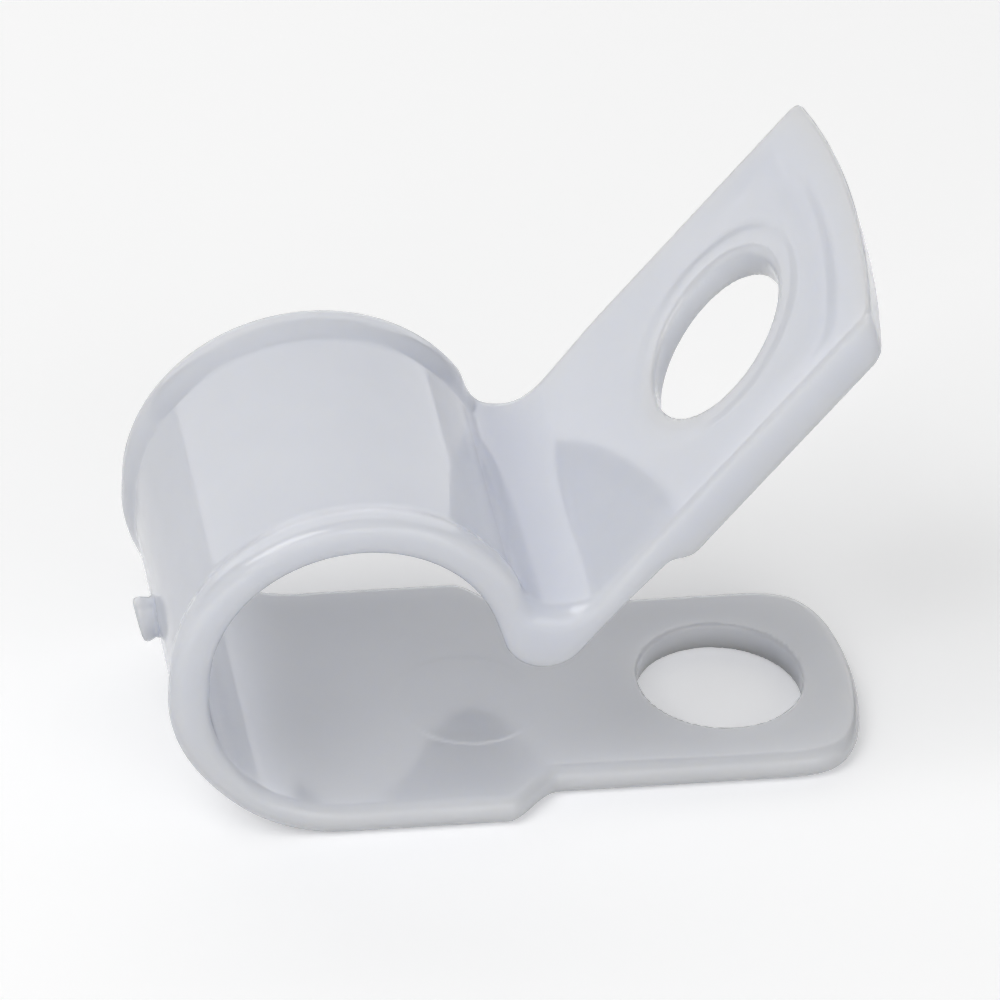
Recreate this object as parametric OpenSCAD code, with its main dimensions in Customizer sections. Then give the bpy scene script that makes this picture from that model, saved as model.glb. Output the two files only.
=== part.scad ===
// One-piece moulded cable clamp, drawn open as it leaves the mould.
// The strap runs from the lower tab round the loop, turns at the knee and ends in the arm.
// Origin: where the axis of the lower screw hole meets the flat underside. Tabs point to +X, up is +Z.

/* [Loop] */
// inside diameter of the open loop
bore_d = 9.5; // [8:0.25:12]
// how far the floor lies below a full circle, which lets the rims run out at the underside
loop_drop = 0.7; // [0.5:0.05:0.9]

/* [Strap] */
// width of the strap round the loop
strap_w = 12.2; // [11.6:0.2:14]
// thickness of the strap
strap_t = 1; // [0.9:0.05:1.3]
// rounding of the long edges of the strap
edge_r = 0.4; // [0.25:0.05:0.45]
// height of the two rims above the outside of the loop
rim_h = 0.3; // [0.2:0.02:0.4]
// width of each rim over its crest
rim_w = 0.85; // [0.7:0.05:1.2]

/* [Lower tab] */
// distance from the loop axis to the lower screw hole
hole_reach = 13.25; // [12.5:0.25:16]
// diameter of the lower screw hole
hole_d = 5.5; // [4:0.1:6]
// width of the narrow tab, which nests in the arm when the clamp is closed
tab_w = 9.4; // [8.6:0.1:9.8]
// distance from the hole centre to the tab's end
tab_end = 4.5; // [4:0.05:5.5]
// radius of the curve across the tab's end
tab_end_r = 12; // [8:0.5:20]
// distance from the hole centre to the tab's rounded corners
tab_corner = 5.35; // [5.1:0.05:5.8]
// distance from the hole centre back to where the tab reaches its narrow width
tab_run = 6.2; // [5.6:0.1:6.5]
// length of the curved shoulder from the wide leg to the narrow tab
step_len = 1.8; // [1.4:0.1:2.4]

/* [Knee] */
// angle above the loop axis where the strap leaves the circle
knee_at = 19.6; // [16:0.2:24]
// straight run from the circle to the knee
knee_run = 0.9; // [0.6:0.1:1.2]
// outside radius of the knee
knee_r = 1.43; // [1.3:0.01:1.6]
// radius of the valley between the loop and the arm
valley_r = 1.25; // [0.9:0.05:1.4]

/* [Arm] */
// angle of the arm above the lower leg
arm_angle = 53; // [47:0.5:57]
// thickness of the arm's plate
arm_t = 1; // [0.95:0.05:1.3]
// distance along the arm from the knee to its screw hole
arm_hole_reach = 9.1; // [8.8:0.05:11]
// diameter of the arm's screw hole, larger than the lower one so that the two line up easily
arm_hole_d = 5.8; // [4.5:0.1:6.4]
// diameter of the shallow screw-head seat round the arm's hole
seat_d = 8.1; // [7.2:0.1:8.6]
// depth of the screw-head seat
seat_depth = 0.12; // [0.06:0.02:0.3]
// distance from the hole centre to the arm's end
arm_end = 7.05; // [6.7:0.05:8]
// radius of the curve across the arm's end
arm_end_r = 24; // [18:1:40]
// undercut of the arm's end face, in degrees from square
arm_end_slope = 37; // [10:1:42]
// distance from the hole centre back to where the skirt starts
skirt_run = 4.65; // [4.4:0.05:5.2]
// depth of the skirt below the arm's plate
skirt_h = 0.5; // [0.3:0.05:0.8]
// clearance between the sides of the skirt and the lower tab when the clamp is closed
nest_gap = 0.15; // [0.1:0.05:0.3]
// clearance between the end of the skirt and the lower tab when the clamp is closed
nest_end_gap = 0.7; // [0.3:0.1:0.9]

/* [Gate stub] */
// angle round the loop where the gate stub stands
gate_at = 196; // [190:1:205]
// diameter of the gate stub on the loop
stub_d = 1.5; // [1:0.1:2]
// how far the gate stub stands out
stub_h = 0.75; // [0.3:0.05:1]

/* [Hidden] */
$fn = 96;
arc_steps = 5;
bore_r = bore_d / 2;
outer_r = bore_r + strap_t;
floor_z = -(bore_r + loop_drop);
under_z = floor_z - strap_t;
half_w = strap_w / 2;
half_tab = tab_w / 2;
// small steps that keep joined faces from lying in one another
lap = 0.1;
lap_turn = 5;
proud = 0.02;
// turns by which the rims and the knee run on into the strap, and the valley stops short of it
rim_lead = 10;
roll_past = 20;
valley_short = 8;
// shoulder: the wide leg ends in a disc that crosses both widths at the ends of the step
narrow_x = hole_reach - tab_run;
wide_x = narrow_x - step_len;
shoulder_in = (half_w * half_w - half_tab * half_tab - step_len * step_len) / (2 * step_len);
shoulder_r = sqrt(shoulder_in * shoulder_in + half_w * half_w);
shoulder_x = wide_x - shoulder_in;
tab_tip = hole_reach + tab_end;
// knee: leave_x, leave_z is the end of the circle and turn_x, turn_z is the end of the straight run
leave_x = bore_r * cos(knee_at);
leave_z = bore_r * sin(knee_at);
turn_x = leave_x + knee_run * sin(knee_at);
turn_z = leave_z - knee_run * cos(knee_at);
knee_x = turn_x + knee_r * cos(knee_at);
knee_z = turn_z + knee_r * sin(knee_at);
arm_x = knee_x + knee_r * sin(arm_angle);
arm_z = knee_z - knee_r * cos(arm_angle);
// valley: touches the outside of the loop and the top of the arm
valley_off = -arm_x * sin(arm_angle) + arm_z * cos(arm_angle) + arm_t + valley_r;
valley_along = sqrt(pow(outer_r + valley_r, 2) - valley_off * valley_off);
valley_x = valley_along * cos(arm_angle) - valley_off * sin(arm_angle);
valley_z = valley_along * sin(arm_angle) + valley_off * cos(arm_angle);
valley_at = atan2(valley_z, valley_x);
valley_from = valley_at + 180 + valley_short;
valley_to = 270 + arm_angle - valley_short;
// rims start inside the knee and end inside the lower curve of the loop
rim_from = knee_at - rim_lead;
rim_to = 222;
crest_r = 0.32;
foot_r = 0.4;
flank = acos(1 - rim_h / (crest_r + foot_r));
rim_root = bore_r + edge_r + lap;
// arm end
skirt_x = arm_hole_reach - skirt_run;
arm_tip = arm_hole_reach + arm_end;
arm_end_x = arm_tip - arm_end_r;
tip_round = 0.45;
skirt_round = 0.25;
pocket_half = half_tab + nest_gap;
pocket_tip = arm_hole_reach + tab_end + nest_end_gap;
past = 1;

function arc(cx, cy, r, from, to) =
    [for (i = [0:arc_steps]) let (a = from + (to - from) * i / arc_steps) [cx + r * cos(a), cy + r * sin(a)]];

// Strap cross-section: thickness along x from the inside face, width along y.
function strap_section(t) = concat(
    arc(edge_r, edge_r - half_w, edge_r, 180, 270),
    arc(t - edge_r, edge_r - half_w, edge_r, 270, 360),
    arc(t - edge_r, half_w - edge_r, edge_r, 0, 90),
    arc(edge_r, half_w - edge_r, edge_r, 90, 180));

// Disc cross-section with rounded edges: radius along x, height along y.
function disc_section(r, t) = concat(
    [[0, 0]],
    arc(r - edge_r, edge_r, edge_r, 270, 360),
    arc(r - edge_r, t - edge_r, edge_r, 0, 90),
    [[0, t]]);

// Rim cross-section: distance from the loop axis along x, width along y.
function rim_section() = concat(
    [[rim_root, half_w]],
    arc(outer_r + rim_h - crest_r, half_w - crest_r, crest_r, 90, 0),
    arc(outer_r + rim_h - crest_r, half_w - rim_w + crest_r, crest_r, 0, -flank),
    [for (p = rim_foot()) p],
    [[rim_root, half_w - rim_w - foot_r]]);
function rim_foot() =
    let (cx = outer_r + rim_h - crest_r + (crest_r + foot_r) * cos(flank))
    let (cy = half_w - rim_w + crest_r - (crest_r + foot_r) * sin(flank))
    [for (a = [0.75, 0.5, 0.25]) [cx - foot_r * cos(flank * a), cy + foot_r * sin(flank * a)]];

// Turns a section about the loop's cross axis, with angles from +X towards +Z.
module turned(from, to) {
    rotate([90, 0, 0])
        rotate_extrude(angle = to - from, start = from)
            children();
}

module loop_band() {
    turned(knee_at - lap_turn, 180)
        translate([bore_r, 0]) polygon(strap_section(strap_t));
    translate([-bore_r, 0, 0]) rotate([0, 180, 0])
        linear_extrude(loop_drop) polygon(strap_section(strap_t));
    translate([0, 0, -loop_drop]) turned(180, 270)
        translate([bore_r, 0]) polygon(strap_section(strap_t));
}

module rims() {
    for (side = [0, 1]) mirror([0, side, 0])
        turned(rim_from, rim_to) mirror([0, 1]) polygon(rim_section());
}

module gate_stub() {
    rotate([0, 90 - gate_at, 0]) translate([0, 0, outer_r - strap_t / 2])
        cylinder(d = stub_d, h = stub_h + strap_t / 2);
}

// Straight bar with rounded long edges, from x0 to x1 with its underside at z = 0.
module bar(x0, x1, w, t) {
    side = w / 2;
    translate([x0, 0, t]) rotate([0, 90, 0]) linear_extrude(x1 - x0)
        polygon(concat(
            arc(edge_r, edge_r - side, edge_r, 180, 270),
            arc(t - edge_r, edge_r - side, edge_r, 270, 360),
            arc(t - edge_r, side - edge_r, edge_r, 0, 90),
            arc(edge_r, side - edge_r, edge_r, 90, 180)));
}

// Disc with rounded edges that trims a bar of thickness t, a little thicker than the bar.
module disc(x, r, t) {
    translate([x, 0, -proud]) rotate_extrude() polygon(disc_section(r, t + 2 * proud));
}

module wide_leg() {
    intersection() {
        bar(0, tab_tip, strap_w, strap_t);
        disc(shoulder_x, shoulder_r, strap_t);
    }
}

module narrow_tab() {
    difference() {
        intersection() {
            bar(wide_x - past, tab_tip + past, tab_w, strap_t);
            disc(tab_tip - tab_end_r, tab_end_r, strap_t);
        }
        // corners
        difference() {
            translate([hole_reach, -half_w, -past]) cube([tab_end + past, strap_w, strap_t + 2 * past]);
            disc(hole_reach, tab_corner, strap_t);
        }
    }
}

module lower_leg() {
    translate([0, 0, under_z]) difference() {
        union() {
            wide_leg();
            narrow_tab();
        }
        translate([hole_reach, 0, -past]) cylinder(d = hole_d, h = strap_t + 2 * past);
    }
}

// Rounded underside of the knee, a turned roll along the strap's width.
module knee_roll() {
    r = knee_r + proud;
    side = half_w - proud;
    translate([knee_x, 0, knee_z]) turned(180, 270 + arm_angle + roll_past)
        polygon(concat(
            [[0, -side]],
            arc(r - edge_r, edge_r - side, edge_r, 270, 360),
            arc(r - edge_r, side - edge_r, edge_r, 0, 90),
            [[0, side]]));
}

// Web between the loop, the knee and the arm, with the round valley on top.
module knee_web() {
    mid = strap_t / 2;
    mid_arm = arm_t / 2;
    rotate([90, 0, 0]) linear_extrude(strap_w - 4 * proud, center = true)
        polygon(concat(
            [[knee_x, knee_z]],
            [[turn_x, turn_z]],
            [[leave_x, leave_z]],
            [[(outer_r - mid) * cos(valley_at), (outer_r - mid) * sin(valley_at)]],
            arc(valley_x, valley_z, valley_r, valley_from, valley_to),
            [[valley_x + (valley_r + mid_arm) * sin(arm_angle), valley_z - (valley_r + mid_arm) * cos(arm_angle)]]));
}

// Arm in its own coordinates: x along the arm from the knee, the plate's underside at z = 0.
module skirt() {
    side = half_w - proud;
    difference() {
        translate([skirt_x, 0, 0]) rotate([90, 0, 90]) linear_extrude(arm_tip - skirt_x + past)
            polygon(concat(
                arc(skirt_round - side, skirt_round - skirt_h, skirt_round, 180, 270),
                arc(side - skirt_round, skirt_round - skirt_h, skirt_round, 270, 360),
                [[side, arm_t / 2]],
                [[-side, arm_t / 2]]));
        // ramp where the skirt starts
        rotate([90, 0, 0]) linear_extrude(strap_w + 2 * past, center = true) polygon([
            [skirt_x - past, arm_t / 2],
            [skirt_x - arm_t / 2, arm_t / 2],
            [skirt_x + skirt_h + past, -skirt_h - past],
            [skirt_x - past, -skirt_h - past]]);
        // pocket that the lower tab nests in
        translate([0, 0, -skirt_h - past]) linear_extrude(skirt_h + past) intersection() {
            translate([0, -pocket_half]) square([arm_tip, 2 * pocket_half]);
            translate([pocket_tip - tab_end_r, 0]) circle(r = tab_end_r);
        }
    }
}

// Disc that gives the arm its curved, undercut end.
module arm_end_disc() {
    base = arm_end_r - tip_round;
    top = arm_t + proud;
    low = skirt_h + past;
    fall = top - tip_round - tip_round * sin(arm_end_slope) + low;
    foot = base + tip_round * cos(arm_end_slope) - fall * tan(arm_end_slope);
    translate([arm_end_x, 0, 0]) rotate_extrude() polygon(concat(
        [[0, -low]],
        [[foot, -low]],
        arc(base, top - tip_round, tip_round, -arm_end_slope, 90),
        [[0, top]]));
}

module arm() {
    translate([arm_x, 0, arm_z]) rotate([0, -arm_angle, 0]) difference() {
        intersection() {
            union() {
                bar(-lap, arm_tip + past, strap_w, arm_t);
                skirt();
            }
            arm_end_disc();
        }
        translate([arm_hole_reach, 0, -past]) cylinder(d = arm_hole_d, h = arm_t + 2 * past);
        translate([arm_hole_reach, 0, arm_t - seat_depth]) cylinder(d = seat_d, h = past);
    }
}

module clamp() {
    color("GhostWhite") translate([-hole_reach, 0, -under_z]) {
        loop_band();
        rims();
        gate_stub();
        lower_leg();
        knee_roll();
        knee_web();
        arm();
    }
}

clamp();
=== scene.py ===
"""Looks of a moulded nylon cable clamp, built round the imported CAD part."""
import math

import bpy
import numpy as np
from mathutils import Matrix, Vector


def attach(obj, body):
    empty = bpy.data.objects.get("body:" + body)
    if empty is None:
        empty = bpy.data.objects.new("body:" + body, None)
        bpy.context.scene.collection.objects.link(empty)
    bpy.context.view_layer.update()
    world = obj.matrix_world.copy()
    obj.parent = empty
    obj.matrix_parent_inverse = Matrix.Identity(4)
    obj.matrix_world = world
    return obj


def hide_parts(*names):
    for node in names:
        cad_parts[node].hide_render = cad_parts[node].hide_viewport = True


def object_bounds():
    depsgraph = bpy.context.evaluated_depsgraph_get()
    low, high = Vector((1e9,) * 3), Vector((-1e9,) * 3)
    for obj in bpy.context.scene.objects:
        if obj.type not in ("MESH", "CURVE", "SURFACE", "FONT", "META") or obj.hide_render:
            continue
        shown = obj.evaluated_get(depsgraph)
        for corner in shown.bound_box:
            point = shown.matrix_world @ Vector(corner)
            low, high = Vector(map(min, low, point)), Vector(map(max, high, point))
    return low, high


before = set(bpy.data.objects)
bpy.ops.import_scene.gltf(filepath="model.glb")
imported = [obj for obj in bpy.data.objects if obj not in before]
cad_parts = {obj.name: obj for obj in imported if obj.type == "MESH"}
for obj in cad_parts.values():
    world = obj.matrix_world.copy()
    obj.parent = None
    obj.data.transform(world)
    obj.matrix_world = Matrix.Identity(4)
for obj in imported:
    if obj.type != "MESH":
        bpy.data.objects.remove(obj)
cad_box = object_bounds()

# Sizes are in millimetres, as in the CAD part. The shape is worked out round the loop's axis,
# with x along the leg, y across the strap and z up.
BORE_R = 4.75
STRAP_T = 1.0
OUTER_R = BORE_R + STRAP_T
DROP = 0.7
HALF_W = 6.1
FLOOR_Z = -(BORE_R + DROP)
UNDER_Z = FLOOR_Z - STRAP_T

# Lower leg, its step to the narrow tab, and its hole
HOLE_REACH = 13.25
HOLE_R = 2.75
HALF_TAB = 4.7
TAB_TIP = 17.75
TAB_END_R = 12.0
TAB_CORNER = 5.38
TAB_BLEND = 0.3
CORNER_BLEND = 0.5
STEP_START = 5.2
STEP_END = 7.15

# Knee, and the valley above it
KNEE_AT = math.radians(19.6)
KNEE_RUN = 0.9
KNEE_R = 1.43
VALLEY_R = 1.7
DIP_DEPTH = 0.3

# Arm: u runs along it from the knee, n runs up from its underside, and its end follows the mould's draw
ARM_A = math.radians(53.0)
ARM_T = 1.0
ARM_TIP = 16.14
ARM_END_R = 24.0
ARM_END_BLEND = 0.35
DRAW = math.tan(math.radians(35.5))
ARM_HOLE_U = 9.45
ARM_HOLE_R = 2.98
ARM_HOLE_TAPER = 0.03

# Skirt under the arm's end, and the pocket in it for the lower tab
SKIRT_U = 4.45
SKIRT_H = 0.5
SKIRT_TOP = 0.6
SKIRT_BLEND = 0.25
SKIRT_EDGE_R = 0.2
SKIRT_FILLET = 0.12
POCKET_HALF = 4.85
POCKET_TIP = 14.25
POCKET_BLEND = 0.8

# Rims on the loop, the angles between which they run out at the knee and under the loop,
# and the angle from which a turn round the loop is counted
RIM_H = 0.3
RIM_FOOT = 4.4
RIM_CREST = 5.5
RIM_KNEE = (math.radians(18), math.radians(36))
RIM_LOW = (math.radians(232), math.radians(188))
RIM_TURN = -0.5

# Shallow marks: the seat round the arm's hole, the sink over the pocket's edge, the ejector pin's mark
SEAT_R = 4.05
SEAT_DEPTH = 0.042
SEAT_SLOPE = (-0.55, 0.1)
SINK_DEPTH = 0.055
SINK_WIDTH = 0.65
SINK_START = SKIRT_U + 2.5
PIN_X = 4.7
PIN_Y = -0.5
PIN_R = 2.4
PIN_DEPTH = 0.016
PIN_SLOPE = (-0.15, 0.1)

# Gate stub at the parting line, with a slight neck
STUB_AT = math.radians(196.0)
STUB_R = 0.75
STUB_H = 0.74
STUB_ROOT = 0.4
STUB_EDGE_R = 0.14
STUB_FILLET = 0.12
NECK_DEPTH = 0.13
NECK_RISE = 0.1
NECK_REACH = 0.45

# Edge radii: along the strap, round the valley, along the arm, and at the holes
EDGE_R = 0.45
KNEE_EDGE_R = 0.75
KNEE_EDGE_REACH = (1.8, 0.5)
ARM_EDGE_R = 0.18
ARM_EDGE_RUN = (1.6, 5.2)
HOLE_EDGE_R = 0.13
ARM_HOLE_EDGE_R = 0.2

# Regions in which the leg, the arm, the stub and the marks are worked out
LEG_FROM_X = 1.5
LEG_BELOW_Z = -3.2
ARM_FROM_U = 1.6
ARM_N = (-2.0, 3.0)
FACE_N = 0.3
RIM_SKIN = 0.5
PIN_ABOVE = 0.8
STUB_BEFORE_X = -3.0

# Places past the leg's and the arm's ends, a distance larger than the part, and a small overlap at seams
FAR_X = 21.0
FAR_U = 19.0
FAR_OFF = 1e3
SEAM = 1e-3

# Mesh: the grid's cell and margin, and how its points settle on the surface
CELL = 0.14
MARGIN = 0.4
PROBE = 0.01
SETTLE_TURNS = 6
SLIDE_TURNS = (1, 2, 3)
SLIDE_SHARE = 0.5
LONGEST_MOVE = 0.5 * CELL
LEAST_SLOPE = 0.05
LEAST_MOVE = 1e-9
BOX_INSET = 2e-6
MM_PER_METRE = 1000.0

# Material and floor colours are linear, and the noise scales are per metre
NYLON_TINTS = ((0.712, 0.733, 0.808, 1), (0.742, 0.763, 0.838, 1))
NYLON_ROUGHNESS = (0.07, 0.14)
NYLON_IOR = 1.53
SCATTER_RADIUS = (0.95, 1.0, 1.15)
SCATTER_SCALE = 0.0022
NOISE_SPAN = (0.3, 0.7)
CLOUD_SCALE = 220.0
CLOUD_DETAIL = 3.0
WEAR_SCALE = 900.0
WEAR_DETAIL = 4.0
BUMP_STRENGTH = 0.06
BUMP_DEPTH = 0.00008
FLOOR_HALF = 1.5
FLOOR_WHITE = (0.97, 0.97, 0.97, 1)
FLOOR_BOUNCE = (0.60, 0.60, 0.60, 1)
FLOOR_LIFT = 0.27
FLOOR_ROUGHNESS = 0.9
FLOOR_SHINE = 0.1

# Softboxes: azimuth from the front to the right, elevation, width and height in metres, and radiance
SOFTBOXES = {
    "back": (180, 30, 0.70, 0.42, 0.70),
    "card": (180, 27, 0.70, 0.38, 0.85),
    "left": (300, 52, 0.22, 0.22, 3.50),
    "front": (0, 24, 0.50, 0.25, 1.20),
    "right": (45, 20, 0.35, 0.30, 0.48),
}
REFLECTIONS_ONLY = "card"
BOX_REACH = 0.35
WORLD_STRENGTH = 0.10

# Camera at the photograph's angle: the point that it looks at and its distance in millimetres, and that
# point's pixels and the scale there in a picture 1000 pixels wide
CAMERA_AIM = (6.0, 0.0, 1.0)
CAMERA_AZIMUTH = math.radians(-11.6835)
CAMERA_ELEVATION = math.radians(36.1681)
CAMERA_ROLL = math.radians(3.7041)
CAMERA_REACH = 322.5806
CAMERA_CLIP = (0.01, 20.0)
SENSOR_WIDTH = 36.0
PICTURE = 1000.0
PIXELS_PER_MM = 30.7748
AIM_PIXEL_X = 513.805
AIM_PIXEL_Y = 529.9982


def point(x, z):
    return np.array([x, z])


# Places on the side outline, worked out from the sizes
TO_PART = np.array([-HOLE_REACH, 0.0, -UNDER_Z])
MID = STRAP_T / 2
COS_ARM, SIN_ARM = math.cos(ARM_A), math.sin(ARM_A)
COS_KNEE, SIN_KNEE = math.cos(KNEE_AT), math.sin(KNEE_AT)
ARM_DOWN = point(SIN_ARM, -COS_ARM)
KNEE_OUT = point(COS_KNEE, SIN_KNEE)
LOOP = point(0.0, 0.0)
LOW_LOOP = point(0.0, -DROP)
LEAVE = BORE_R * KNEE_OUT
TURN = LEAVE + KNEE_RUN * point(SIN_KNEE, -COS_KNEE)
KNEE = TURN + KNEE_R * KNEE_OUT
ARM = KNEE + KNEE_R * ARM_DOWN
VALLEY_OFF = -ARM[0] * SIN_ARM + ARM[1] * COS_ARM + ARM_T + VALLEY_R
VALLEY_ALONG = math.sqrt((OUTER_R + VALLEY_R) ** 2 - VALLEY_OFF ** 2)
VALLEY = point(
    VALLEY_ALONG * COS_ARM - VALLEY_OFF * SIN_ARM,
    VALLEY_ALONG * SIN_ARM + VALLEY_OFF * COS_ARM,
)
VALLEY_AT = math.atan2(VALLEY[1], VALLEY[0])
DIP = VALLEY + (VALLEY_R + DIP_DEPTH) * (KNEE - VALLEY) / np.linalg.norm(KNEE - VALLEY)


def arm_point(u, n):
    return point(ARM[0] + u * COS_ARM - n * SIN_ARM, ARM[1] + u * SIN_ARM + n * COS_ARM)


# The strap's side outline, as straight lines from point to point and arcs of centre, radius and angles.
# The leg and the arm run on past their ends, which their plans cut off.
OUTLINE_LINES = [
    (point(0, UNDER_Z), point(FAR_X, UNDER_Z)),
    (point(FAR_X, UNDER_Z), point(FAR_X, FLOOR_Z)),
    (point(0, FLOOR_Z), point(FAR_X, FLOOR_Z)),
    (point(-BORE_R, -DROP), point(-BORE_R, 0)),
    (point(-OUTER_R, -DROP), point(-OUTER_R, 0)),
    (LEAVE, TURN),
    (arm_point(0, 0), arm_point(FAR_U, 0)),
    (arm_point(FAR_U, 0), arm_point(FAR_U, ARM_T)),
    (VALLEY + VALLEY_R * ARM_DOWN, arm_point(FAR_U, ARM_T)),
]
OUTLINE_ARCS = [
    (LOW_LOOP, BORE_R, math.pi, 1.5 * math.pi),
    (LOW_LOOP, OUTER_R, math.pi, 1.5 * math.pi),
    (LOOP, BORE_R, KNEE_AT, math.pi),
    (LOOP, OUTER_R, VALLEY_AT, math.pi),
    (KNEE, KNEE_R, math.pi + KNEE_AT, 1.5 * math.pi + ARM_A),
    (VALLEY, VALLEY_R, VALLEY_AT + math.pi, 1.5 * math.pi + ARM_A),
]
# Corners of the solid web between loop, knee, arm and valley
WEB = [
    KNEE,
    TURN + MID * KNEE_OUT,
    LEAVE + MID * KNEE_OUT,
    (OUTER_R - MID) * point(math.cos(VALLEY_AT), math.sin(VALLEY_AT)),
    VALLEY,
    VALLEY + (VALLEY_R + MID) * ARM_DOWN,
    arm_point(0, MID),
]


def smooth(start, end, value):
    """0 at start, 1 at end, with a soft rise between."""
    share = np.clip((value - start) / (end - start), 0.0, 1.0)
    return share * share * (3.0 - 2.0 * share)


def soft_max(a, b, width):
    """Intersection of two outlines with its corner softened over a width."""
    near = np.maximum(width - np.abs(a - b), 0.0) / width
    return np.maximum(a, b) + near * near * width * 0.25


def round_both(a, b, radius):
    """Intersection of two shapes with its edge rounded."""
    a = a + radius
    b = b + radius
    outside = np.hypot(np.maximum(a, 0.0), np.maximum(b, 0.0))
    return np.minimum(np.maximum(a, b), 0.0) + outside - radius


def round_join(a, b, radius):
    """Union of two shapes with a fillet of about this radius."""
    inside = np.hypot(np.maximum(radius - a, 0.0), np.maximum(radius - b, 0.0))
    return np.maximum(radius, np.minimum(a, b)) - inside


def line_distance(x, z, start, end):
    run = end - start
    share = ((x - start[0]) * run[0] + (z - start[1]) * run[1]) / float(run @ run)
    share = np.clip(share, 0.0, 1.0)
    return np.hypot(x - start[0] - share * run[0], z - start[1] - share * run[1])


def arc_distance(x, z, centre, radius, start, end):
    middle = (start + end) / 2
    half = (end - start) / 2
    from_x, from_z = x - centre[0], z - centre[1]
    along = from_x * math.cos(middle) + from_z * math.sin(middle)
    off = np.abs(from_z * math.cos(middle) - from_x * math.sin(middle))
    to_arc = np.abs(np.hypot(along, off) - radius)
    to_end = np.hypot(along - radius * math.cos(half), off - radius * math.sin(half))
    return np.where(np.arctan2(off, along) <= half, to_arc, to_end)


def in_polygon(x, z, corners):
    inside = np.zeros(x.shape, bool)
    for (x0, z0), (x1, z1) in zip(corners, corners[1:] + corners[:1]):
        if z0 == z1:
            continue
        crossing_x = (x1 - x0) * (z - z0) / (z1 - z0) + x0
        inside ^= ((z0 > z) != (z1 > z)) & (x < crossing_x)
    return inside


def along_arm(x, z):
    """Place along the arm and height above its underside."""
    u = (x - ARM[0]) * COS_ARM + (z - ARM[1]) * SIN_ARM
    n = (z - ARM[1]) * COS_ARM - (x - ARM[0]) * SIN_ARM
    return u, n


def in_loop(x, z):
    upper_r = np.hypot(x, z)
    lower_r = np.hypot(x, z + DROP)
    upper = (upper_r > BORE_R) & (upper_r < OUTER_R) & (np.arctan2(z, x) >= KNEE_AT - SEAM)
    drop = (x > -OUTER_R) & (x < -BORE_R) & (z > -DROP - SEAM) & (z < SEAM)
    lower = (lower_r > BORE_R) & (lower_r < OUTER_R) & (x < SEAM) & (z < -DROP + SEAM)
    return upper | drop | lower


def in_knee(x, z):
    along = (x - LEAVE[0]) * SIN_KNEE - (z - LEAVE[1]) * COS_KNEE
    out = (x - LEAVE[0]) * COS_KNEE + (z - LEAVE[1]) * SIN_KNEE
    run = (along > -SEAM) & (along < KNEE_RUN + SEAM) & (out > 0) & (out < STRAP_T)
    from_x, from_z = x - KNEE[0], z - KNEE[1]
    angle = np.mod(np.arctan2(from_z, from_x) - math.pi, 2 * math.pi)
    bend = (np.hypot(from_x, from_z) < KNEE_R) & (angle > KNEE_AT - SEAM)
    bend &= angle < 0.5 * math.pi + ARM_A + SEAM
    web = in_polygon(x, z, WEB) & (np.hypot(x - VALLEY[0], z - VALLEY[1]) > VALLEY_R)
    return run | bend | web


def profile(x, z):
    """Signed distance to the strap's side outline."""
    distance = np.full(x.shape, FAR_OFF)
    for start, end in OUTLINE_LINES:
        distance = np.minimum(distance, line_distance(x, z, start, end))
    for centre, radius, start, end in OUTLINE_ARCS:
        distance = np.minimum(distance, arc_distance(x, z, centre, radius, start, end))
    u, n = along_arm(x, z)
    leg = (x > -SEAM) & (x < FAR_X) & (z > UNDER_Z) & (z < FLOOR_Z)
    arm = (u > -SEAM) & (u < FAR_U) & (n > 0) & (n < ARM_T)
    inside = in_loop(x, z) | leg | in_knee(x, z) | arm
    return np.where(inside, -distance, distance)


def leg_plan(x, y):
    """Signed distance to the lower leg's outline seen from above."""
    share = np.clip((x - STEP_START) / (STEP_END - STEP_START), 0.0, 1.0)
    narrowing = HALF_W - HALF_TAB
    half = HALF_W - narrowing * share * share * (3 - 2 * share)
    slope = narrowing * 6 * share * (1 - share) / (STEP_END - STEP_START)
    side = (np.abs(y) - half) / np.sqrt(1 + slope * slope)
    end = np.hypot(x - (TAB_TIP - TAB_END_R), y) - TAB_END_R
    corner = np.where(x > HOLE_REACH, np.hypot(x - HOLE_REACH, y) - TAB_CORNER, -FAR_OFF)
    return soft_max(soft_max(side, end, TAB_BLEND), corner, CORNER_BLEND)


def arm_plan(drawn, y):
    """Signed distance to the arm's outline, along the mould's draw."""
    side = np.abs(y) - HALF_W
    end = (np.hypot(drawn - (ARM_TIP - ARM_END_R), y) - ARM_END_R) / math.sqrt(1 + DRAW * DRAW)
    return soft_max(side, end, ARM_END_BLEND)


def pocket_plan(drawn, y):
    """Signed distance to the outline of the pocket under the arm."""
    end = np.hypot(drawn - (POCKET_TIP - TAB_END_R), y) - TAB_END_R
    return soft_max(np.abs(y) - POCKET_HALF, end, POCKET_BLEND)


def outside_loop(x, z):
    """Height above the loop's outside."""
    upper_r = np.hypot(x, z)
    lower_r = np.hypot(x, z + DROP)
    return np.where(z >= 0, upper_r, np.where(z > -DROP, -x, lower_r)) - OUTER_R


def rim_height(x, y, z):
    """Rise of the two rims, which run out towards the knee and under the loop."""
    angle = np.arctan2(z, x)
    angle = np.where(angle < RIM_TURN, angle + 2 * math.pi, angle)
    run = smooth(*RIM_KNEE, angle) * smooth(*RIM_LOW, angle)
    return RIM_H * run * smooth(RIM_FOOT, RIM_CREST, np.abs(y))


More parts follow.
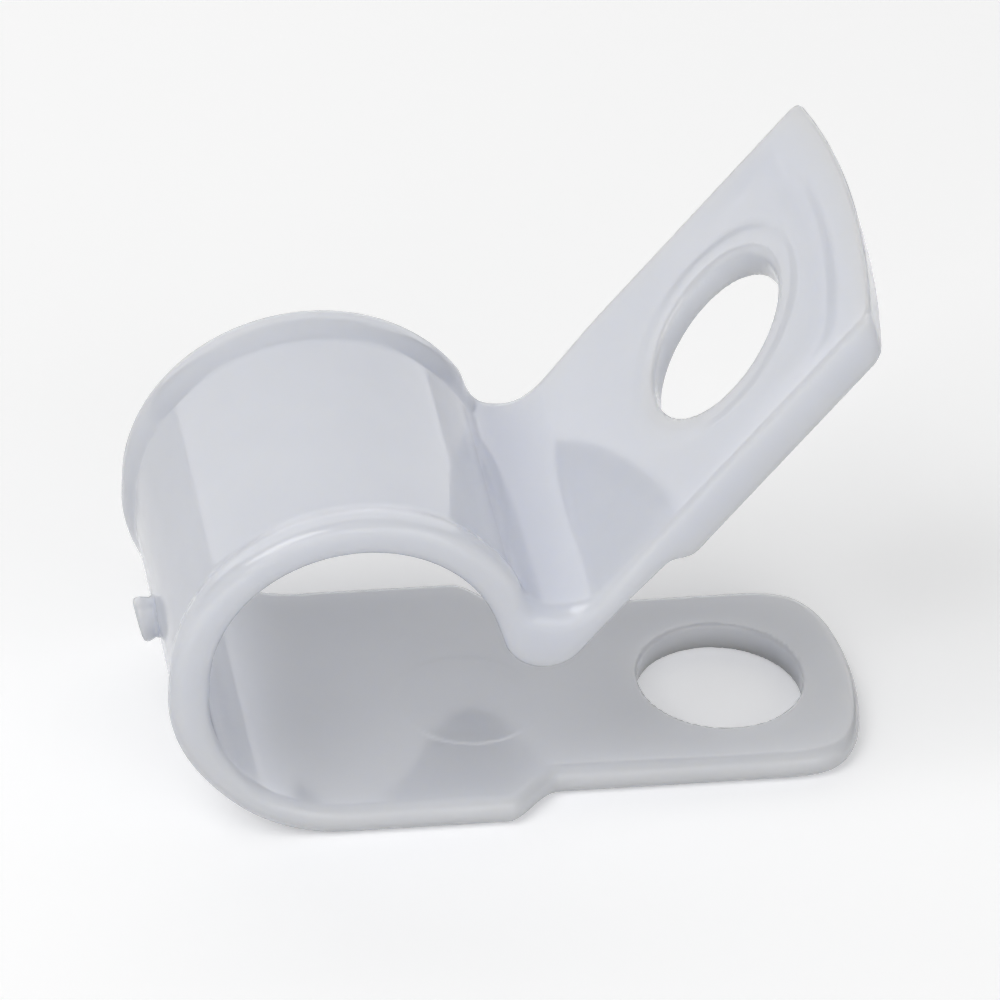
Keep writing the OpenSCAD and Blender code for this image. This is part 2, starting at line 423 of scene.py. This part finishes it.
def arm_marks(u, drawn, y):
    """Depth of the seat round the arm's hole and of the sink over the pocket's edge."""
    from_hole = np.hypot(drawn - ARM_HOLE_U, y)
    seat = SEAT_DEPTH * (1 - smooth(SEAT_R + SEAT_SLOPE[0], SEAT_R + SEAT_SLOPE[1], from_hole))
    line = np.exp(-(pocket_plan(drawn, y) / SINK_WIDTH) ** 2)
    return seat + SINK_DEPTH * line * smooth(SINK_START, POCKET_TIP, u)


def pin_mark(x, y):
    """Depth of the ejector pin's mark in the leg."""
    from_pin = np.hypot(x - PIN_X, y - PIN_Y)
    return PIN_DEPTH * (1 - smooth(PIN_R + PIN_SLOPE[0], PIN_R + PIN_SLOPE[1], from_pin))


def skirt(u, n, drawn, y):
    """Signed distance to the wall under the arm's end, with a ramped start and the pocket left open."""
    ramp = -((u - SKIRT_U) + n) / math.sqrt(2.0)
    wall = np.maximum(soft_max(-SKIRT_H - n, ramp, SKIRT_BLEND), n - SKIRT_TOP)
    return round_both(wall, -pocket_plan(drawn, y), SKIRT_EDGE_R)


def edge_radius(x, z, u, on_arm):
    """Radius of the strap's edges: soft round the valley, sharper along the arm."""
    near_dip = smooth(*KNEE_EDGE_REACH, np.hypot(x - DIP[0], z - DIP[1]))
    radius = EDGE_R + (KNEE_EDGE_R - EDGE_R) * near_dip
    return radius + (ARM_EDGE_R - radius) * np.where(on_arm, smooth(*ARM_EDGE_RUN, u), 0.0)


def gate_stub(x, y, z):
    """Signed distance to the gate stub on the loop."""
    cos_stub, sin_stub = math.cos(STUB_AT), math.sin(STUB_AT)
    out = x * cos_stub + z * sin_stub
    off = np.hypot(z * cos_stub - x * sin_stub, y)
    neck = STUB_R - NECK_DEPTH * smooth(NECK_REACH, 0.0, np.abs(out - OUTER_R - NECK_RISE))
    ends = np.maximum(out - (OUTER_R + STUB_H), OUTER_R - STUB_ROOT - out)
    return round_both(ends, off - neck, STUB_EDGE_R)


def outside_leg_hole(x, y):
    return HOLE_R - np.hypot(x - HOLE_REACH, y)


def outside_arm_hole(drawn, y, n):
    """Signed distance that keeps the arm clear of its slightly tapered hole."""
    radius = ARM_HOLE_R - ARM_HOLE_TAPER * (ARM_T - n)
    return (radius - np.hypot(drawn - ARM_HOLE_U, y)) / math.sqrt(1 + 0.5 * DRAW * DRAW)


def field(x, y, z, side=None):
    """Signed distance to the clamp. The side outline's distance may be given, as it is the same for all y."""
    if side is None:
        side = profile(x, z)
    u, n = along_arm(x, z)
    drawn = u - DRAW * (n - ARM_T)
    on_leg = (x > LEG_FROM_X) & (z < LEG_BELOW_Z)
    on_arm = (u > ARM_FROM_U) & (n > ARM_N[0]) & (n < ARM_N[1])
    on_loop = (outside_loop(x, z) > -RIM_SKIN) & ~on_arm & ~on_leg
    on_leg_top = on_leg & (z > (FLOOR_Z + UNDER_Z) / 2) & (z < FLOOR_Z + PIN_ABOVE)
    lowered = np.where(on_arm & (n > FACE_N), arm_marks(u, drawn, y), 0.0)
    lowered = np.where(on_loop, -rim_height(x, y, z), lowered)
    lowered = np.where(on_leg_top, pin_mark(x, y), lowered)
    body = side + lowered
    body = np.where(on_arm, round_join(body, skirt(u, n, drawn, y), SKIRT_FILLET), body)
    plan = np.where(on_arm, arm_plan(drawn, y), np.abs(y) - HALF_W)
    plan = np.where(on_leg, leg_plan(x, y), plan)
    solid = round_both(body, plan, edge_radius(x, z, u, on_arm))
    solid = np.where(x < STUB_BEFORE_X, round_join(solid, gate_stub(x, y, z), STUB_FILLET), solid)
    solid = np.where(on_leg, round_both(solid, outside_leg_hole(x, y), HOLE_EDGE_R), solid)
    return np.where(on_arm, round_both(solid, outside_arm_hole(drawn, y, n), ARM_HOLE_EDGE_R), solid)


def gradient(places):
    slope = np.empty_like(places)
    for axis in range(3):
        ahead, behind = places.copy(), places.copy()
        ahead[:, axis] += PROBE
        behind[:, axis] -= PROBE
        slope[:, axis] = (field(*ahead.T) - field(*behind.T)) / (2 * PROBE)
    return slope


def unit(vectors):
    return vectors / np.linalg.norm(vectors, axis=1)[:, None]


def sample_field(low, high):
    """The field on a grid of cells."""
    count = np.ceil((high - low) / CELL).astype(int) + 1
    axes = [low[i] + CELL * np.arange(count[i]) for i in range(3)]
    grid_x, grid_z = np.meshgrid(axes[0], axes[2], indexing="ij")
    side = profile(grid_x, grid_z)
    values = np.empty(count, np.float64)
    for j, y in enumerate(axes[1]):
        values[:, j, :] = field(grid_x, np.full(grid_x.shape, y), grid_z, side)
    return values


def surface_cells(values):
    """Cells that the surface passes through, a number for each, and a first point in each."""
    corners = [(i, j, k) for i in (0, 1) for j in (0, 1) for k in (0, 1)]
    nx, ny, nz = np.array(values.shape) - 1
    inside = values < 0
    total = sum(inside[i:nx + i, j:ny + j, k:nz + k].astype(np.int8) for i, j, k in corners)
    active = (total > 0) & (total < len(corners))
    number = np.full(active.shape, -1, np.int64)
    number[active] = np.arange(active.sum())
    cell = np.argwhere(active)
    at_corner = {corner: values[tuple((cell + corner).T)] for corner in corners}
    place = np.zeros((len(cell), 3))
    weight = np.zeros(len(cell))
    for corner in corners:
        for axis in range(3):
            if corner[axis]:
                continue
            across = tuple(1 if i == axis else corner[i] for i in range(3))
            first, second = at_corner[corner], at_corner[across]
            crossing = (first < 0) != (second < 0)
            share = np.where(crossing, first / np.where(crossing, first - second, 1.0), 0.0)
            step = np.tile(np.array(corner, float), (len(cell), 1))
            step[:, axis] += share
            place += step * crossing[:, None]
            weight += crossing
    return number, cell + place / weight[:, None]


def cell_quads(values, number):
    """A quad round each grid edge that the surface crosses, from the four cells that share the edge."""
    inside = values < 0
    quads = []
    for axis in range(3):
        b, c = (axis + 1) % 3, (axis + 2) % 3
        start = [slice(1, -1)] * 3
        end = [slice(1, -1)] * 3
        start[axis], end[axis] = slice(0, -1), slice(1, None)
        start_in, end_in = inside[tuple(start)], inside[tuple(end)]
        base = np.argwhere(start_in != end_in)
        flip = end_in[tuple(base.T)]
        base[:, b] += 1
        base[:, c] += 1
        ring = []
        for step_b, step_c in ((-1, -1), (0, -1), (0, 0), (-1, 0)):
            at = base.copy()
            at[:, b] += step_b
            at[:, c] += step_c
            ring.append(number[tuple(at.T)])
        ring = np.stack(ring, 1)
        ring[flip] = ring[flip][:, ::-1]
        quads.append(ring)
    return np.concatenate(quads)


def settle(places, quads):
    """Points moved onto the surface, and evened out along it in some of the turns."""
    sides = np.concatenate([quads[:, [i, (i + 1) % 4]] for i in range(4)])
    valence = np.bincount(sides[:, 0], minlength=len(places))[:, None]
    for turn in range(SETTLE_TURNS):
        slope = gradient(places)
        if turn in SLIDE_TURNS:
            total = np.zeros_like(places)
            np.add.at(total, sides[:, 0], places[sides[:, 1]])
            slide = total / valence - places
            normal = unit(slope)
            places = places + SLIDE_SHARE * (slide - (slide * normal).sum(1)[:, None] * normal)
            slope = gradient(places)
        steepness = np.maximum((slope * slope).sum(1), LEAST_SLOPE)
        move = -(field(*places.T) / steepness)[:, None] * slope
        length = np.maximum(np.linalg.norm(move, axis=1), LEAST_MOVE)
        places = places + move * np.minimum(1.0, LONGEST_MOVE / length)[:, None]
    return places


def build_clamp(name):
    """The clamp as one closed mesh inside the CAD part's box."""
    margin = np.full(3, MARGIN)
    tip_z = ARM[1] + ARM_TIP * SIN_ARM + ARM_T * COS_ARM
    low = np.array([-OUTER_R - STUB_H, -HALF_W, UNDER_Z]) - margin
    high = np.array([TAB_TIP, HALF_W, tip_z]) + margin
    values = sample_field(low, high)
    number, cell_places = surface_cells(values)
    quads = cell_quads(values, number)
    places = settle(low + CELL * cell_places, quads)
    box_low, box_high = np.array(cad_box[0]), np.array(cad_box[1])
    metres = np.clip((places + TO_PART) / MM_PER_METRE, box_low + BOX_INSET, box_high - BOX_INSET)
    mesh = bpy.data.meshes.new(name)
    mesh.vertices.add(len(metres))
    mesh.vertices.foreach_set("co", metres.ravel())
    mesh.loops.add(quads.size)
    mesh.loops.foreach_set("vertex_index", quads.ravel())
    mesh.polygons.add(len(quads))
    mesh.polygons.foreach_set("loop_start", np.arange(0, quads.size, 4))
    mesh.update(calc_edges=True)
    mesh.validate()
    mesh.polygons.foreach_set("use_smooth", np.ones(len(mesh.polygons), bool))
    mesh.normals_split_custom_set_from_vertices(unit(gradient(places)))
    clamp_body = bpy.data.objects.new(name, mesh)
    bpy.context.scene.collection.objects.link(clamp_body)
    return clamp_body


def add_noise(tree, place, scale, detail):
    noise = tree.nodes.new("ShaderNodeTexNoise")
    noise.inputs["Scale"].default_value = scale
    noise.inputs["Detail"].default_value = detail
    tree.links.new(place.outputs["Object"], noise.inputs["Vector"])
    return noise.outputs["Fac"]


def add_larger(tree, first, second):
    larger = tree.nodes.new("ShaderNodeMath")
    larger.operation = "MAXIMUM"
    tree.links.new(first, larger.inputs[0])
    tree.links.new(second, larger.inputs[1])
    return larger.outputs[0]


def nylon():
    """Natural nylon: milky and glossy, with faint clouds in its tint and small changes in its gloss."""
    material = bpy.data.materials.new("natural_nylon")
    material.use_nodes = True
    tree = material.node_tree
    shader = tree.nodes["Principled BSDF"]
    place = tree.nodes.new("ShaderNodeTexCoord")
    cloud = add_noise(tree, place, CLOUD_SCALE, CLOUD_DETAIL)
    wear = add_noise(tree, place, WEAR_SCALE, WEAR_DETAIL)
    tint = tree.nodes.new("ShaderNodeValToRGB")
    for stop, at, colour in zip(tint.color_ramp.elements, NOISE_SPAN, NYLON_TINTS):
        stop.position = at
        stop.color = colour
    tree.links.new(cloud, tint.inputs["Fac"])
    tree.links.new(tint.outputs["Color"], shader.inputs["Base Color"])
    rough = tree.nodes.new("ShaderNodeMapRange")
    rough.inputs["From Min"].default_value, rough.inputs["From Max"].default_value = NOISE_SPAN
    rough.inputs["To Min"].default_value, rough.inputs["To Max"].default_value = NYLON_ROUGHNESS
    tree.links.new(wear, rough.inputs["Value"])
    tree.links.new(rough.outputs["Result"], shader.inputs["Roughness"])
    bump = tree.nodes.new("ShaderNodeBump")
    bump.inputs["Strength"].default_value = BUMP_STRENGTH
    bump.inputs["Distance"].default_value = BUMP_DEPTH
    tree.links.new(cloud, bump.inputs["Height"])
    tree.links.new(bump.outputs["Normal"], shader.inputs["Normal"])
    shader.inputs["IOR"].default_value = NYLON_IOR
    shader.inputs["Subsurface Weight"].default_value = 1.0
    shader.inputs["Subsurface Radius"].default_value = SCATTER_RADIUS
    shader.inputs["Subsurface Scale"].default_value = SCATTER_SCALE
    return material


def floor_material():
    """Plain paper: white where it is looked at, a little greyer in the light that it throws back."""
    material = bpy.data.materials.new("pale_floor")
    material.use_nodes = True
    tree = material.node_tree
    grey = tree.nodes["Principled BSDF"]
    white = tree.nodes.new("ShaderNodeBsdfPrincipled")
    for paper, colour in ((grey, FLOOR_BOUNCE), (white, FLOOR_WHITE)):
        paper.inputs["Base Color"].default_value = colour
        paper.inputs["Roughness"].default_value = FLOOR_ROUGHNESS
        paper.inputs["Specular IOR Level"].default_value = FLOOR_SHINE
    path = tree.nodes.new("ShaderNodeLightPath")
    reflected = add_larger(tree, path.outputs["Is Glossy Ray"], path.outputs["Is Transmission Ray"])
    seen = add_larger(tree, path.outputs["Is Camera Ray"], reflected)
    glow = tree.nodes.new("ShaderNodeEmission")
    glow.inputs["Strength"].default_value = FLOOR_LIFT
    lifted = tree.nodes.new("ShaderNodeAddShader")
    tree.links.new(white.outputs[0], lifted.inputs[0])
    tree.links.new(glow.outputs[0], lifted.inputs[1])
    mix = tree.nodes.new("ShaderNodeMixShader")
    tree.links.new(seen, mix.inputs["Fac"])
    tree.links.new(grey.outputs[0], mix.inputs[1])
    tree.links.new(lifted.outputs[0], mix.inputs[2])
    tree.links.new(mix.outputs[0], tree.nodes["Material Output"].inputs["Surface"])
    return material


def build_floor():
    corners = [(x * FLOOR_HALF, y * FLOOR_HALF, 0) for x, y in ((-1, -1), (1, -1), (1, 1), (-1, 1))]
    mesh = bpy.data.meshes.new("floor")
    mesh.from_pydata(corners, [], [(0, 1, 2, 3)])
    mesh.materials.append(floor_material())
    paper = bpy.data.objects.new("floor", mesh)
    bpy.context.scene.collection.objects.link(paper)
    return paper


def add_softbox(name, azimuth, elevation, width, height, radiance):
    """A rectangular lamp that faces the part and isn't seen itself; one of them shows in reflections alone."""
    turn, rise = math.radians(azimuth), math.radians(elevation)
    away = Vector((math.sin(turn) * math.cos(rise), -math.cos(turn) * math.cos(rise), math.sin(rise)))
    light = bpy.data.lights.new(name, "AREA")
    light.shape = "RECTANGLE"
    light.size = width
    light.size_y = height
    light.energy = math.pi * width * height * radiance
    lamp = bpy.data.objects.new(name, light)
    lamp.location = away * BOX_REACH
    lamp.rotation_euler = away.to_track_quat("Z", "Y").to_euler()
    lamp.visible_camera = False
    lamp.visible_diffuse = name != REFLECTIONS_ONLY
    bpy.context.scene.collection.objects.link(lamp)


def add_world():
    world = bpy.data.worlds.new("studio")
    bpy.context.scene.world = world
    world.use_nodes = True
    background = world.node_tree.nodes["Background"]
    background.inputs["Color"].default_value = (1.0, 1.0, 1.0, 1)
    background.inputs["Strength"].default_value = WORLD_STRENGTH


def add_camera():
    """Camera at the photograph's angle, with a small shift to bring the part to its place."""
    cos_az, sin_az = math.cos(CAMERA_AZIMUTH), math.sin(CAMERA_AZIMUTH)
    cos_el, sin_el = math.cos(CAMERA_ELEVATION), math.sin(CAMERA_ELEVATION)
    cos_roll, sin_roll = math.cos(CAMERA_ROLL), math.sin(CAMERA_ROLL)
    level = np.array([cos_az, sin_az, 0.0])
    upright = np.array([-sin_az * sin_el, cos_az * sin_el, cos_el])
    behind = np.array([sin_az * cos_el, -cos_az * cos_el, sin_el])
    right = cos_roll * level + sin_roll * upright
    up = cos_roll * upright - sin_roll * level
    eye = (np.array(CAMERA_AIM) + TO_PART + behind * CAMERA_REACH) / MM_PER_METRE
    lens = bpy.data.cameras.new("camera")
    lens.sensor_fit = "HORIZONTAL"
    lens.sensor_width = SENSOR_WIDTH
    lens.lens = SENSOR_WIDTH * PIXELS_PER_MM * CAMERA_REACH / PICTURE
    lens.shift_x = -(AIM_PIXEL_X - PICTURE / 2) / PICTURE
    lens.shift_y = (AIM_PIXEL_Y - PICTURE / 2) / PICTURE
    lens.clip_start, lens.clip_end = CAMERA_CLIP
    camera = bpy.data.objects.new("camera", lens)
    place = Matrix.Identity(4)
    for column, direction in enumerate((right, up, behind, eye)):
        for row in range(3):
            place[row][column] = direction[row]
    camera.matrix_world = place
    bpy.context.scene.collection.objects.link(camera)
    bpy.context.scene.camera = camera


bpy.context.scene.view_settings.view_transform = "Standard"

clamp = build_clamp("clamp_body")
clamp.data.materials.append(nylon())
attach(clamp, "root")
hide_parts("clamp")

floor = build_floor()

for box_name, box in SOFTBOXES.items():
    add_softbox(box_name, *box)
add_world()
add_camera()
